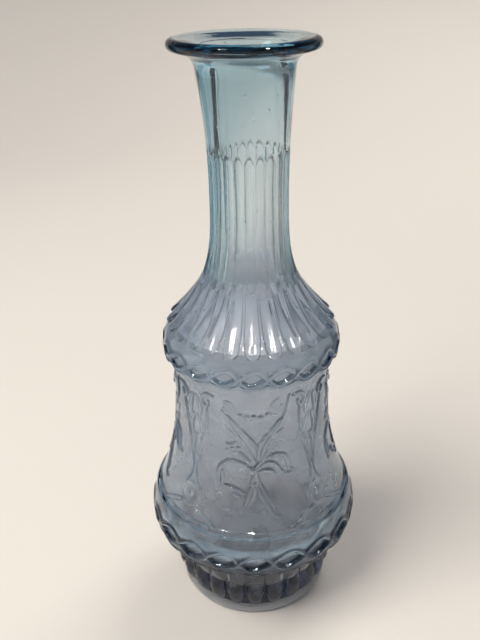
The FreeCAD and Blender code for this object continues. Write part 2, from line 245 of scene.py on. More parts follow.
def linear(colour):
    """Linear colour with full alpha from a six-digit sRGB hex code."""
    parts = [int(colour[at:at + 2], 16) / 255.0 for at in (0, 2, 4)]
    light = [part / 12.92 if part <= 0.04045 else ((part + 0.055) / 1.055) ** 2.4 for part in parts]
    return light + [1.0]


def add_node(tree, kind, inputs=None, **settings):
    """Add a node, set its properties, and give each input a plain value or another node's output."""
    made = tree.nodes.new(kind)
    for name, value in settings.items():
        setattr(made, name, value)
    for socket, value in (inputs or {}).items():
        if isinstance(value, bpy.types.NodeSocket):
            tree.links.new(value, made.inputs[socket])
        else:
            made.inputs[socket].default_value = value
    return made


def new_material(name):
    """An empty node material and its tree."""
    material = bpy.data.materials.new(name)
    material.use_nodes = True
    material.node_tree.nodes.clear()
    return material, material.node_tree


def film_amount(tree, place, height):
    """Dried film on the inside: thin up the neck, milky in the shoulder, in patches 14 mm across."""
    film = add_node(tree, "ShaderNodeAttribute", attribute_name="film").outputs["Fac"]
    lower = add_node(
        tree,
        "ShaderNodeMapRange",
        {"Value": height, "From Min": 145.0 * MM, "From Max": 185.0 * MM, "To Min": 1.3, "To Max": 0.1},
    ).outputs["Result"]
    milky = add_node(
        tree,
        "ShaderNodeMapRange",
        {"Value": height, "From Min": 118.0 * MM, "From Max": 140.0 * MM, "To Min": 1.0, "To Max": 1.7},
    ).outputs["Result"]
    patches = add_node(
        tree, "ShaderNodeTexNoise", {"Vector": place, "Scale": 1.0 / (14.0 * MM), "Detail": 3.0}
    ).outputs["Fac"]
    patched = add_node(
        tree,
        "ShaderNodeMapRange",
        {"Value": patches, "From Min": 0.3, "From Max": 0.7, "To Min": 0.6, "To Max": 1.2},
    ).outputs["Result"]
    for share in (lower, milky, patched):
        film = add_node(tree, "ShaderNodeMath", {0: film, 1: share}, operation="MULTIPLY").outputs[0]
    return film


def film_colour(tree, film, height):
    """Colour of the surface: white where clear, pale grey where filmed, dark with dirt and painted shade.

    Settled dirt and painted shade darken the film toward the corner round the floor, less on the
    floor's middle; painted shade darkens the outside creases.
    """
    # Painted shade with settled dirt: the film darkens below 55 mm, less on the floor's middle
    settled_dirt_and_shade = add_node(
        tree,
        "ShaderNodeMapRange",
        {"Value": height, "From Min": 30.0 * MM, "From Max": 55.0 * MM, "To Min": 0.25, "To Max": 1.0},
    ).outputs["Result"]
    lighter_floor_middle = add_node(
        tree,
        "ShaderNodeMapRange",
        {"Value": height, "From Min": 10.8 * MM, "From Max": 14.0 * MM, "To Min": 0.4, "To Max": 0.0},
    ).outputs["Result"]
    pale = add_node(tree, "ShaderNodeMath", {0: settled_dirt_and_shade, 1: lighter_floor_middle}, operation="ADD").outputs[0]
    # Painted shade: the outside creases darken toward slate grey
    creased = add_node(tree, "ShaderNodeAttribute", attribute_name="crease_shade").outputs["Fac"]
    crease_shade = add_node(
        tree, "ShaderNodeMath", {0: creased, 1: CREASE_SHADE_STRENGTH}, operation="MULTIPLY"
    ).outputs[0]
    filmed = add_node(
        tree,
        "ShaderNodeMix",
        {MIX_SHARE: pale, MIX_FROM: linear("1E2024"), MIX_TO: linear("F4F1F6")},
        data_type="RGBA",
    ).outputs[MIX_RESULT]
    colour = add_node(
        tree,
        "ShaderNodeMix",
        {MIX_SHARE: film, MIX_FROM: linear("FFFFFF"), MIX_TO: filmed},
        data_type="RGBA",
    ).outputs[MIX_RESULT]
    return add_node(
        tree,
        "ShaderNodeMix",
        {MIX_SHARE: crease_shade, MIX_FROM: colour, MIX_TO: linear("4C525C")},
        data_type="RGBA",
    ).outputs[MIX_RESULT]


def moulded_surface(tree, place):
    """Unevenness from the mould, about 9 mm from rise to rise and 0.08 mm high, with seeds.

    Seeds are bubbles 1.3 mm across, about 6 mm apart, that lift the surface by 0.12 mm.
    """
    waves = add_node(
        tree, "ShaderNodeTexNoise", {"Vector": place, "Scale": 1.0 / (9.0 * MM), "Detail": 3.0}
    ).outputs["Fac"]
    from_seed = add_node(
        tree, "ShaderNodeTexVoronoi", {"Vector": place, "Scale": 1.0 / (6.0 * MM)}
    ).outputs["Distance"]
    seeds = add_node(
        tree,
        "ShaderNodeMapRange",
        {"Value": from_seed, "From Min": 0.06, "From Max": 0.11, "To Min": 0.12, "To Max": 0.0},
        interpolation_type="SMOOTHSTEP",
    ).outputs["Result"]
    uneven = add_node(
        tree, "ShaderNodeMath", {0: waves, 1: 0.08, 2: seeds}, operation="MULTIPLY_ADD"
    ).outputs[0]
    bump = add_node(tree, "ShaderNodeBump", {"Height": uneven, "Distance": MM, "Strength": 1.0})
    return bump.outputs["Normal"]


def filmed_glass(name, tint):
    """Soda-lime glass blown in a mould: clear, slightly wavy, and deeper in colour where it is thick.

    Each metre of glass takes up light at TINT_STRENGTH times what the tint lacks of white, colour by
    colour.  Where the inside is filmed, the glass turns cloudy and blurs what lies behind it.
    """
    material, tree = new_material(name)
    place = add_node(tree, "ShaderNodeTexCoord").outputs["Object"]
    height = add_node(tree, "ShaderNodeSeparateXYZ", {"Vector": place}).outputs["Z"]
    index = add_node(tree, "ShaderNodeAttribute", attribute_name="refraction").outputs["Fac"]
    film = film_amount(tree, place, height)
    clear = add_node(
        tree, "ShaderNodeMapRange", {"Value": film, "From Max": 2.0, "To Min": 1.0, "To Max": 0.6}
    ).outputs["Result"]
    blur = add_node(
        tree, "ShaderNodeMapRange", {"Value": film, "From Max": 2.0, "To Min": 0.02, "To Max": 0.42}
    ).outputs["Result"]
    shader = add_node(
        tree,
        "ShaderNodeBsdfPrincipled",
        {
            "Base Color": film_colour(tree, film, height),
            "Roughness": blur,
            "IOR": index,
            "Transmission Weight": clear,
            "Normal": moulded_surface(tree, place),
        },
    )
    depth = add_node(
        tree, "ShaderNodeVolumeAbsorption", {"Color": linear(tint), "Density": TINT_STRENGTH}
    )
    add_node(
        tree,
        "ShaderNodeOutputMaterial",
        {"Surface": shader.outputs["BSDF"], "Volume": depth.outputs["Volume"]},
    )
    return material


def matt(name, colour):
    """Matt painted board: one even colour with no shine."""
    material, tree = new_material(name)
    shader = add_node(tree, "ShaderNodeBsdfPrincipled", {"Base Color": linear(colour), "Roughness": 0.9})
    add_node(tree, "ShaderNodeOutputMaterial", {"Surface": shader.outputs["BSDF"]})
    return material


# Aqua in the neck and lip, slate blue from the shoulder to the lower ring, slate in the thick foot
GLASS = filmed_glass("aqua_glass_clear", "8ED3E6")
BODY_GLASS = filmed_glass("slate_blue_glass_clear", "9EC5DD")
FOOT_GLASS = filmed_glass("slate_glass_clear", "BCC7D7")


# Pieces of glass

CREASE_START = 0.03
CREASE_SPAN = 0.2


def creases(relief):
    """Painted shade in the hollow corners of a relief, from 0 to 1: it grows with the bend from cell to
    cell.

    The bend is the sum of the second differences of the height along the row and the column.
    """
    bend = np.zeros_like(relief)
    bend[2:-2] += relief[3:-1] + relief[1:-3] - 2.0 * relief[2:-2]
    bend[:, 1:-1] += relief[:, 2:] + relief[:, :-2] - 2.0 * relief[:, 1:-1]
    return np.clip((bend - CREASE_START) / CREASE_SPAN, 0.0, 1.0)


def wall_points(radius, level, turn):
    """Points (r sin a, -r cos a, h), less the neck's lean, the square of the height over its start."""
    lean = LEAN * np.clip((level - LEAN_FROM) / LEAN_RISE, 0.0, 1.0) ** 2
    points = np.stack([radius * np.sin(turn) - lean, -radius * np.cos(turn), level], axis=-1)
    return points.reshape(-1, 3)


def wall_faces(rows, columns, shape):
    """Grid of four-cornered faces round a closed section, and the list of faces that close its ends.

    A ring closes round the axis, a disc closes its first and last rows to two more points on the axis,
    and a sector has flat joints at its first and last columns.
    """
    index = np.arange(rows * columns).reshape(rows, columns)
    beside = np.roll(index, -1, axis=1)
    quads = np.stack([index, beside, np.roll(beside, -1, axis=0), np.roll(index, -1, axis=0)], axis=-1)
    if shape == "disc":
        low, high = (np.full(columns, index.size + pole) for pole in (0, 1))
        ends = np.stack([beside[0], index[0], low], axis=-1).tolist()
        ends += np.stack([index[-1], beside[-1], high], axis=-1).tolist()
        return quads[:-1], ends
    if shape == "sector":
        return quads[:, :-1], [index[:, 0].tolist(), index[::-1, -1].tolist()]
    return quads, []


def set_values(mesh, name, kind, domain, values):
    """Give a mesh a named value on each of its points, edges or faces."""
    mesh.attributes.new(name, kind, domain).data.foreach_set("value", values)


def part_shading(mesh, joint):
    """Mark the edges where a wall meets a joint as sharp, so that neither shades the other."""
    edge_of_corner = np.empty(len(mesh.loops), np.int32)
    mesh.loops.foreach_get("edge_index", edge_of_corner)
    corners = np.empty(len(mesh.polygons), np.int32)
    mesh.polygons.foreach_get("loop_total", corners)
    joint_sides = np.bincount(edge_of_corner, np.repeat(joint, corners), len(mesh.edges))
    set_values(mesh, "sharp_edge", "BOOLEAN", "EDGE", joint_sides == 1)


def glass_piece(name, turn, strips, nodes, material, shape="ring", relief=None):
    """A closed piece of glass from strips of rows, each given as radius and height grids.

    The strips follow one another round the section.  The faces between two strips are joints to a
    neighbouring zone: they lie inside the glass, so their refractive index is 1 and light runs straight
    through.  The strips after the first are the inside, which carries the film.  The first strip's
    relief tells where painted shade lies in the creases.
    """
    radius = np.concatenate([strip[0] for strip in strips])
    level = np.concatenate([strip[1] for strip in strips])
    points = wall_points(radius, level, turn)
    if shape == "disc":
        points = np.concatenate([points, [[0.0, 0.0, level[0, 0]], [0.0, 0.0, level[-1, 0]]]])
    quads, ends = wall_faces(*radius.shape, shape)
    rows = np.arange(len(radius))
    last_rows = np.cumsum([len(strip[0]) for strip in strips]) - 1
    joint_rows = np.isin(rows, last_rows)
    film_rows = (rows > last_rows[0]) & ~joint_rows
    joint, film = (
        np.concatenate([np.repeat(marks[:len(quads)], quads.shape[1]), np.full(len(ends), at_ends)])
        for marks, at_ends in ((joint_rows, shape == "sector"), (film_rows, False))
    )
    # Painted shade in the creases of the outer relief, one value per point
    crease_shade = np.zeros(len(points))
    if relief is not None:
        crease_shade[:relief.size] = creases(relief).ravel()

    mesh = bpy.data.meshes.new(name)
    mesh.from_pydata(points * MM, [], quads.reshape(-1, 4).tolist() + ends, shade_flat=False)
    set_values(mesh, "refraction", "FLOAT", "FACE", np.where(joint, 1.0, GLASS_INDEX))
    set_values(mesh, "film", "FLOAT", "FACE", film.astype(float))
    set_values(mesh, "crease_shade", "FLOAT", "POINT", crease_shade)
    part_shading(mesh, joint)
    mesh.materials.append(material)

    piece = bpy.data.objects.new(name, mesh)
    bpy.context.scene.collection.objects.link(piece)
    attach(piece, "root")
    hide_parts(*nodes)


# Floor and foot

KICK_HEIGHT = 3.0
KICK_RADIUS = 22.0
FLOOR_TOP = 9.5
FLOOR_CROWN = 1.2
BOSS_HEIGHT = 4.4
BOSS_HALF_WIDTH = 4.75
BOSS_END_LEVEL = 12.8
BOSS_END_STRETCH = 0.62
BOSS_HOLLOW = 0.7


def floor_disc():
    """Thick floor: a kick raised underneath, a low crown and rising edge on top.

    Underside: edge level plus the kick's height times (1 - (r/kick radius)^2)^2.  Top: a parabola crown
    plus an eighth power of r that climbs to the side wall.
    """
    turn = turn_angles(around=192)
    reach = FLOOR_RADIUS - HAIRLINE
    radius = np.concatenate([[0.3], np.linspace(1.0, reach - 0.05, 40), [reach]])[:, None]
    share = radius / FLOOR_RADIUS
    under = FLOOR_EDGE_LOW + KICK_HEIGHT * dome(radius / KICK_RADIUS, 2)
    over = FLOOR_TOP + FLOOR_CROWN * (1.0 - share**2) + (FLOOR_EDGE_HIGH - FLOOR_TOP) * share**8
    flat = np.zeros_like(turn)
    strips = [(radius + flat, under + flat), ((radius + flat)[::-1], (over + flat)[::-1])]
    glass_piece("floor_disc", turn, strips, ["floor_disc"], FOOT_GLASS, "disc")


def bosses(turn, level):
    """Relief of finger bosses: a power of 1 - (d/w)^2, where d is the distance to an upright line.

    The line ends above the base ring, so that the lower end is round, and the bosses die out upward.
    """
    across = wrapped(turn, BOSSES) * 2.0 * math.pi * FOOT_RADIUS / BOSSES
    below = BOSS_END_STRETCH * np.clip(BOSS_END_LEVEL - level, 0.0, None)
    off = np.hypot(across, below) / BOSS_HALF_WIDTH
    return BOSS_HEIGHT * dome(off, 0.6) * (1.0 - step(level, 15.5, 25.5))


def foot_ring():
    """Foot: a smooth turned profile with a round base ring, and a row of bosses, hollow behind."""
    turn = turn_angles(around=480)
    outer = wall_line(
        [
            (FLOOR_RADIUS, FLOOR_EDGE_LOW),
            (29.3, 0.3),
            (30.2, 0.02),
            (32.2, 0.02),
            (34.0, 0.4),
            (34.8, 1.4),
            (35.0, 2.7),
            (34.5, 4.0),
            (33.6, 5.0),
            (33.0, 6.8),
            (33.2, 15.0),
            (34.6, 24.0),
            (FOOT_RADIUS, FOOT_TOP - HAIRLINE),
        ],
        rows=96,
    )
    inner = wall_line(
        [
            (FLOOR_RADIUS, FLOOR_EDGE_HIGH),
            (29.7, 16.2),
            (30.1, 19.5),
            (30.3, 25.0),
            (FOOT_INSIDE, FOOT_TOP - HAIRLINE),
        ],
        rows=40,
    )
    relief = bosses(turn, outer[:, 1:])
    radius, level = inside(inner, turn)
    behind = BOSS_HOLLOW * bosses(turn, level) * step(level, FLOOR_EDGE_HIGH, FLOOR_EDGE_HIGH + 3.0)
    strips = [raised(outer, relief), (radius + behind, level)]
    glass_piece("foot_ring", turn, strips, ["foot_ring"], FOOT_GLASS, relief=relief)


# Cable rings

EYE_SWAY = 0.5
EYE_SLOPE = 1.3
STRAND_WIDTH = 1.2
STRAND_TILT = 0.9
HEM_WIDTH = 0.7


def eyed_band(turn, level, middle, radius, eye, bend, sink, rim, hem):
    """Relief of a row of sunk almond eyes with raised rims, and strands climbing to the right between.

    With u the distance along the ring from an eye's middle and v the height over a line that sways by
    half a millimetre, the eye's edge is v = high * (1 - (u / long)^bend) above and below.  Inside it the
    surface sinks in a smooth step, and along it runs a rim that is wider above than below.  A cord
    edges the band at the height of its hem.
    """
    long, high = eye
    pitch = 2.0 * math.pi * radius / LINKS
    share = wrapped(turn, LINKS)
    rise = level - middle - EYE_SWAY * np.sin(2.0 * math.pi * share)
    reach = np.abs(share * pitch) / long
    slope = np.hypot(1.0, bend * high / long * reach ** (bend - 1.0))
    into = (high * (1.0 - reach**bend) - np.abs(rise)) / slope
    hollow = -sink * step(into, 0.0, EYE_SLOPE)
    rim_width = 0.6 + 0.7 * step(rise, -0.5, 0.5)
    edge = rim * ridge(into + 0.4 * rim_width, rim_width)
    aside = wrapped(turn - math.pi / LINKS, LINKS) * pitch - STRAND_TILT * (level - middle)
    fade = 1.0 - step(np.abs(level - middle), 0.5 * high, 1.2 * high)
    strand = 1.3 * rim * ridge(aside, STRAND_WIDTH) * fade
    edging = 0.8 * rim * ridge(level - hem, HEM_WIDTH)
    return hollow + np.maximum(np.maximum(edge, strand), edging)


def scallop(turn, level, low, corner, fade, lift):
    """Upward shift that scallops the lower edge of a ring, none under an eye and most between two.

    It is the lift times the square of the place across, strongest at the corner's height.
    """
    cusp = (2.0 * wrapped(turn, LINKS)) ** 2
    return lift * cusp * step(level, low, corner) * (1.0 - step(level, corner, fade))


def lower_cable_ring():
    """Lower ring: a turned half-round band with the larger row of eyes, and a ledge on top."""
    turn = turn_angles(around=480)
    outer = wall_line(
        [
            (FOOT_RADIUS, FOOT_TOP + HAIRLINE),
            (40.0, 33.0),
            (43.4, 34.0),
            (45.3, 35.4),
            (46.3, 38.0),
            (46.9, 42.5),
            (46.7, 48.0),
            (46.1, 51.5),
            (45.5, 54.2),
            (45.0, 55.5),
            (44.5, BODY_LOW - HAIRLINE),
            (BODY_BOTTOM, BODY_LOW - HAIRLINE),
        ],
        rows=120,
    )
    inner = wall_line(
        [
            (FOOT_INSIDE, FOOT_TOP + HAIRLINE),
            (33.4, 34.4),
            (37.0, 38.2),
            (39.4, 42.6),
            (40.4, 47.2),
            (40.5, 51.6),
            (BODY_BOTTOM - WALL, BODY_LOW - HAIRLINE),
        ],
        rows=36,
    )
    level = outer[:, 1:]
    relief = eyed_band(
        turn, level, middle=44.4, radius=46.5, eye=(6.7, 3.7), bend=2.0, sink=1.1, rim=0.8, hem=37.0
    )
    relief = relief * step(level, 34.2, 36.0) * (1.0 - step(level, 51.6, 53.2))
    radius, heights = raised(outer, relief)
    heights = heights + scallop(turn, level, low=FOOT_TOP, corner=34.6, fade=40.0, lift=2.6)
    strips = [(radius, heights), inside(inner, turn)]
    glass_piece("lower_cable_ring", turn, strips, ["lower_cable_ring"], BODY_GLASS, relief=relief)


def upper_cable_ring():
    """Upper ring: a turned half-round band with the smaller row of eyes, under the shoulder."""
    turn = turn_angles(around=480)
    outer = wall_line(
        [
            (BODY_TOP, BODY_HIGH + HAIRLINE),
            (35.4, 124.55),
            (36.3, 124.9),
            (36.7, 125.9),
            (36.8, 128.0),
            (36.75, 131.0),
            (36.55, 133.6),
            (35.95, 136.2),
            (SHOULDER_RADIUS, SHOULDER_LOW - HAIRLINE),
        ],
        rows=80,
    )
    inner = wall_line(
        [
            (BODY_TOP - WALL, BODY_HIGH + HAIRLINE),
            (31.0, 128.0),
            (31.6, 131.5),
            (31.6, 135.0),
            (SHOULDER_INSIDE, SHOULDER_LOW - HAIRLINE),
        ],
        rows=24,
    )
    level = outer[:, 1:]
    relief = eyed_band(
        turn, level, middle=130.5, radius=36.5, eye=(4.9, 2.7), bend=2.4, sink=0.55, rim=0.75, hem=126.0
    )
    relief = relief * step(level, 124.6, 125.3) * (1.0 - step(level, 136.6, 137.8))
    radius, heights = raised(outer, relief)
    heights = heights + scallop(turn, level, low=BODY_HIGH, corner=124.9, fade=129.5, lift=2.2)
    strips = [(radius, heights), inside(inner, turn)]
    glass_piece("upper_cable_ring", turn, strips, ["upper_cable_ring"], BODY_GLASS, relief=relief)


# Body panels

# Raised drawing of one panel: x across from its middle, y up from the knot of the bow
KNOT_LEVEL = 85.0
BOW_CORDS = [
    [(-0.8, 0.0), (-3.3, 2.3), (-7.3, 4.1), (-11.3, 3.5),
     (-14.3, 0.6), (-15.6, -2.8), (-15.3, -6.8), (-15.6, -9.5)],
    [(-12.3, -7.6), (-9.3, -8.2), (-6.8, -9.2), (-4.3, -10.3)],
    [(0.3, 0.6), (2.3, 3.5), (5.8, 5.9), (9.8, 6.8),
     (13.3, 5.3), (14.6, 1.8), (15.1, -1.2), (17.3, -2.6)],
    [(0.8, -0.6), (3.3, 2.3), (6.3, 3.5), (8.8, 2.3), (10.8, -0.6), (13.3, -3.2), (17.3, -2.9)],
    [(1.3, -0.9), (4.3, 0.0), (7.3, -0.6), (8.6, -2.3)],
    [(-1.5, -6.0), (2.8, -6.5)],
    [(0.0, -7.2), (-0.8, -11.0), (-2.3, -15.2)],
    [(1.8, -7.8), (3.3, -12.0), (5.3, -15.0), (7.3, -18.8), (8.8, -20.6), (11.3, -21.0)],
    [(0.6, -1.0), (-0.6, -3.6), (-1.2, -6.0)],
    [(0.8, -1.0), (1.6, -3.8), (2.4, -6.2)],
    [(2.9, -7.0), (4.8, -10.8), (6.8, -14.2), (8.8, -17.4)],
    [(-0.9, -7.4), (-2.2, -11.0), (-3.8, -15.0)],
    [(-8.8, -10.8), (-6.4, -11.6)],
    [(-13.6, -1.2), (-13.4, -4.4), (-14.0, -7.4)],
]
BOUQUET_CORDS = [
    [(0.6, 4.0), (-3.4, 11.6), (-8.4, 20.0), (-12.6, 28.0)],
    [(2.2, 10.0), (-2.4, 16.2), (-7.6, 22.4), (-12.6, 28.0)],
    [(2.3, 4.8), (5.8, 13.0), (8.8, 18.4), (12.8, 25.0), (15.0, 34.5)],
    [(1.6, 6.0), (2.6, 12.0), (6.6, 17.6), (11.0, 23.6)],
    [(-2.0, 4.0), (-4.8, 7.2), (-7.2, 9.2)],
    [(3.0, 4.0), (5.6, 8.0), (7.6, 10.6)],
]
BOUQUET_LEAVES = [
    [(0.6, 8.0), (-4.6, 15.6), (-12.0, 26.6)],
    [(6.6, 14.0), (9.8, 15.6), (12.4, 18.8)],
    [(-11.6, 33.0), (-9.4, 30.4), (-7.0, 28.4)],
    [(-12.4, 29.6), (-10.0, 28.6), (-7.6, 27.2)],
    [(7.0, 28.2), (9.0, 30.8), (10.0, 34.6)],
    [(7.6, 26.8), (10.2, 28.0), (12.0, 30.8)],
    [(-6.8, 14.6), (-9.6, 16.6), (-11.2, 20.0)],
]
BOUQUET_BEADS = [(-5.4, 26.6), (-2.6, 25.8), (0.2, 26.1), (3.0, 25.8), (5.8, 26.8)]
BOUQUET_FLOWERS = [(-8.8, 10.2), (8.8, 11.9)]

# Scrolls on both sides of a panel border: x away from the border, y as a height on the body
SCROLL_CORDS = [
    [(6.5, 112.0), (5.8, 105.0), (5.1, 99.0), (3.0, 91.0),
     (1.6, 85.0), (0.9, 80.0), (2.2, 75.0), (4.4, 71.5)],
    [(4.0, 63.2), (9.0, 61.0), (15.0, 58.6)],
    [(7.6, 116.0), (6.6, 113.4), (4.6, 114.2), (4.4, 117.0), (6.6, 119.2), (10.0, 119.0)],
]
SCROLL_LEAVES = [
    [(0.9, 117.0), (2.6, 112.0), (2.4, 106.0)],
    [(0.8, 107.0), (2.9, 101.5), (1.9, 95.0)],
    [(0.6, 97.0), (2.2, 91.5), (1.0, 85.5)],
]
ROUNDEL_LEVEL = 68.0
ROUNDEL_RADIUS = 4.8
FILLET_LEVEL = 57.6
FILLET_HEIGHT = 0.5
FILLET_WIDTH = 0.7
PANEL_ROWS = 300
PANEL_COLUMNS = 300
LINE_SHARES = np.linspace(0.0, 1.0, 28)


def body_radius(level):
    """Outside radius of the plain body: a round arc flaring down from the waist, a parabola above it."""
    drop = WAIST_LEVEL - BODY_LOW
    flare = BODY_BOTTOM - WAIST
    arc = (drop**2 + flare**2) / (2.0 * flare)
    below = arc - np.sqrt(arc**2 - np.clip(WAIST_LEVEL - level, 0.0, drop) ** 2)
    share = np.clip((level - WAIST_LEVEL) / (BODY_HIGH - WAIST_LEVEL), 0.0, 1.0)
    return WAIST + below + (BODY_TOP - WAIST) * share**2


def nearest(x, y, line):
    """Distance from each grid point to a line of short straight pieces, and the place along it."""
    start = line[:-1]
    run = np.diff(line, axis=0)
    dx = x[..., None] - start[:, 0]
    dy = y[..., None] - start[:, 1]
    t = np.clip((dx * run[:, 0] + dy * run[:, 1]) / (run**2).sum(axis=1), 0.0, 1.0)
    gap = np.hypot(dx - t * run[:, 0], dy - t * run[:, 1])
    best = gap.argmin(axis=-1)[..., None]
    along = (best + np.take_along_axis(t, best, -1)) / len(run)
    return np.take_along_axis(gap, best, -1)[..., 0], along[..., 0]


def cord(x, y, points, width=0.95, height=0.8):
    """A raised cord along a smooth line: height times (1 - (d/width)^2)^0.8, thinner at its ends."""
    gap, along = nearest(x, y, smooth_line(points, LINE_SHARES))
    taper = 0.6 + 0.4 * np.sin(math.pi * along) ** 0.5
    return height * dome(gap / (width * taper), 0.8)


def leaf(x, y, points, width=1.9, height=0.6):
    """A raised blade, widest a third of the way along, with a groove down its middle rib."""
    gap, along = nearest(x, y, smooth_line(points, LINE_SHARES))
    half = width * np.sin(math.pi * along**0.7) + 0.25
    return height * dome(gap / half, 0.6) * (1.0 - 0.45 * ridge(gap, 0.45))


def bead(x, y, centre, radius=1.5, height=0.85):
    """A low round bead: height times (1 - (d/radius)^2)^0.6."""
    gap = np.hypot(x - centre[0], y - centre[1]) / radius
    return height * dome(gap, 0.6)


def flower(x, y, centre):
    """Five petals round a bead: the reach swings with the cosine of five times the angle."""
    dx = x - centre[0]
    dy = y - centre[1]
    gap = np.hypot(dx, dy)
    reach = 3.1 + 0.7 * np.cos(5.0 * np.arctan2(dy, dx))
    petals = 0.75 * np.clip(1.0 - (gap / reach) ** 4, 0.0, None) * (0.4 + 0.6 * step(gap, 0.8, 2.0))
    return np.maximum(petals, bead(x, y, centre, radius=1.2))


def panel_relief(x, y):
    """Bow and bouquet of one panel, the highest ornament winning at each point."""
    layers = [cord(x, y, points) for points in BOW_CORDS + BOUQUET_CORDS]
    layers += [leaf(x, y, points) for points in BOUQUET_LEAVES]
    layers += [bead(x, y, centre, radius=1.15) for centre in BOUQUET_BEADS]
    layers += [flower(x, y, centre) for centre in BOUQUET_FLOWERS]
    layers.append(bead(x, y, (0.0, 0.0), radius=2.0, height=0.95))
    return np.maximum.reduce(layers)


def border_relief(x, level):
    """Scrolls and leaves beside a border, mirrored by the next panel, over a roundel on the border."""
    layers = [cord(x, level, points) for points in SCROLL_CORDS]
    layers += [leaf(x, level, points, width=1.5) for points in SCROLL_LEAVES]
    from_roundel = np.hypot(x, level - ROUNDEL_LEVEL)
    layers.append(0.5 * ridge(from_roundel - ROUNDEL_RADIUS, 0.7))
    layers.append(bead(x, level, (0.0, ROUNDEL_LEVEL), radius=1.8))
    return np.maximum.reduce(layers)


def body_panels():
    """Body: a waisted wall in four equal ornamented panels, with a fillet along the lower edge."""
    level = zone_levels(BODY_LOW, BODY_HIGH, PANEL_ROWS)
    outer = np.stack([body_radius(level), level], axis=-1)
    inner = (outer - [WALL, 0.0])[row_picks(PANEL_ROWS, count=26)]
    half_turn = math.pi / PANELS
    across = (half_turn - HAIRLINE / WAIST) * (2.0 * row_shares(PANEL_COLUMNS) - 1.0)[None, :]
    from_border = half_turn - np.abs(across)
    radius = outer[:, :1]
    heights = level[:, None] + np.zeros_like(across)
    relief = np.maximum.reduce([
        panel_relief(radius * across, heights - KNOT_LEVEL),
        border_relief(radius * from_border, heights),
        FILLET_HEIGHT * ridge(heights - FILLET_LEVEL, FILLET_WIDTH),
    ])
    relief = relief * step(heights, BODY_LOW, 57.0) * (1.0 - step(heights, 121.5, BODY_HIGH))
    for order, side in enumerate(SIDES):
        turn = across + 2.0 * half_turn * order
        nodes = ["body_wall"] + [f"{kind}_{side}" for kind in ("bouquet", "bow", "scroll_after")]
        strips = [raised(outer, relief), inside(inner, turn)]
        glass_piece(f"body_panel_{side}", turn, strips, nodes, BODY_GLASS, "sector", relief)


# Shoulder and neck

LOBE_HEIGHT = 2.3
LOBE_HALF_WIDTH = 2.9
LOBE_SHARE = 0.39
LOBE_END_LEVEL = 140.8
LOBE_END_STRETCH = 1.05
LOBE_HOLLOW = 0.8
MOAT_DEPTH = 0.2
FLUTE_DEPTH = 0.75
FLUTE_START = 158.5
FLUTE_MARGIN = 1.2


def neck_base(level):
    """Radius between the lobes of the shoulder and along the edges of the flutes, in one sweep.

    It falls with a power of the height left to the slimmest level, and widens as a parabola above it.
    """
    share = (level - SHOULDER_LOW) / (SLIM_LEVEL - SHOULDER_LOW)
    widening = np.clip((level - SLIM_LEVEL) / (FLUTE_HIGH - SLIM_LEVEL), 0.0, 1.0) ** 2
    return falling(SHOULDER_RADIUS, NECK_SLIM, share, 3.4) + (FLUTE_TOP - NECK_SLIM) * widening


def neck_inside(level):
    """Inside radius of the shoulder and neck: one falling power of the height for each."""
    up_shoulder = (level - SHOULDER_LOW) / (NECK_LOW - SHOULDER_LOW)
    up_neck = (level - NECK_LOW) / (SLIM_LEVEL - NECK_LOW)
    shoulder = falling(SHOULDER_INSIDE, NECK_FOOT - WALL, up_shoulder, 1.58)
    neck = falling(NECK_FOOT - WALL, BORE, up_neck, 2.7)
    return np.where(level < NECK_LOW, shoulder, neck)


def lobes(turn, level):
    """Drop-shaped lobes of the shoulder: half round in section, with a round lower end.

    Height falls as the root of 1 - (d/w)^2, where d is the distance to the lobe's middle line, which
    ends a little above the ring, and w is half the lobe's width.  A shallow moat runs round each lobe,
    and the lobes die out up the neck.
    """
    pitch = 2.0 * math.pi * neck_base(level) / LOBES
    width = np.minimum(LOBE_HALF_WIDTH, LOBE_SHARE * pitch)
    below = LOBE_END_STRETCH * np.clip(LOBE_END_LEVEL - level, 0.0, None)
    off = np.hypot(wrapped(turn, LOBES) * pitch, below) / width
    lobe = dome(off, 0.5) - MOAT_DEPTH * ridge(off - 1.1, 0.16)
    fade = 1.0 - step(level, 142.0, 163.0)
    return LOBE_HEIGHT * fade * step(level, SHOULDER_LOW, SHOULDER_LOW + 0.4) * lobe


def flutes(turn, level):
    """Depth of the neck's flutes: a parabola across, from a round end over each lobe to an arch.

    Each end is a smooth step in height, shifted by the square of the place across.
    """
    hollow = 1.0 - (2.0 * wrapped(turn, LOBES)) ** 2
    starts = step(level - FLUTE_START - 4.0 * (1.0 - hollow), -1.0, 1.0)
    closes = 1.0 - step(level - FLUTE_HIGH + FLUTE_MARGIN + 3.6 * (1.0 - hollow), -0.8, 0.8)
    return FLUTE_DEPTH * hollow * starts * closes


def lobed_zone(name, low, high, rows, inner_rows, material):
    """A stretch of the lobed shoulder or fluted neck between two heights, hollow behind the lobes."""
    turn = turn_angles(around=720)
    level = zone_levels(low, high, rows)[:, None] + np.zeros_like(turn)
    relief = lobes(turn, level) - flutes(turn, level)
    inner_level = zone_levels(low, high, inner_rows)
    inner = np.stack([neck_inside(inner_level), inner_level], axis=-1)
    inner_radius, heights = inside(inner, turn)
    behind = LOBE_HOLLOW * lobes(turn, heights)
    behind = behind * step(heights, SHOULDER_LOW, 145.0) * (1.0 - step(heights, 150.0, 159.0))
    strips = [(neck_base(level) + relief, level), (inner_radius + behind, heights)]
    glass_piece(name, turn, strips, [name], material, relief=relief)


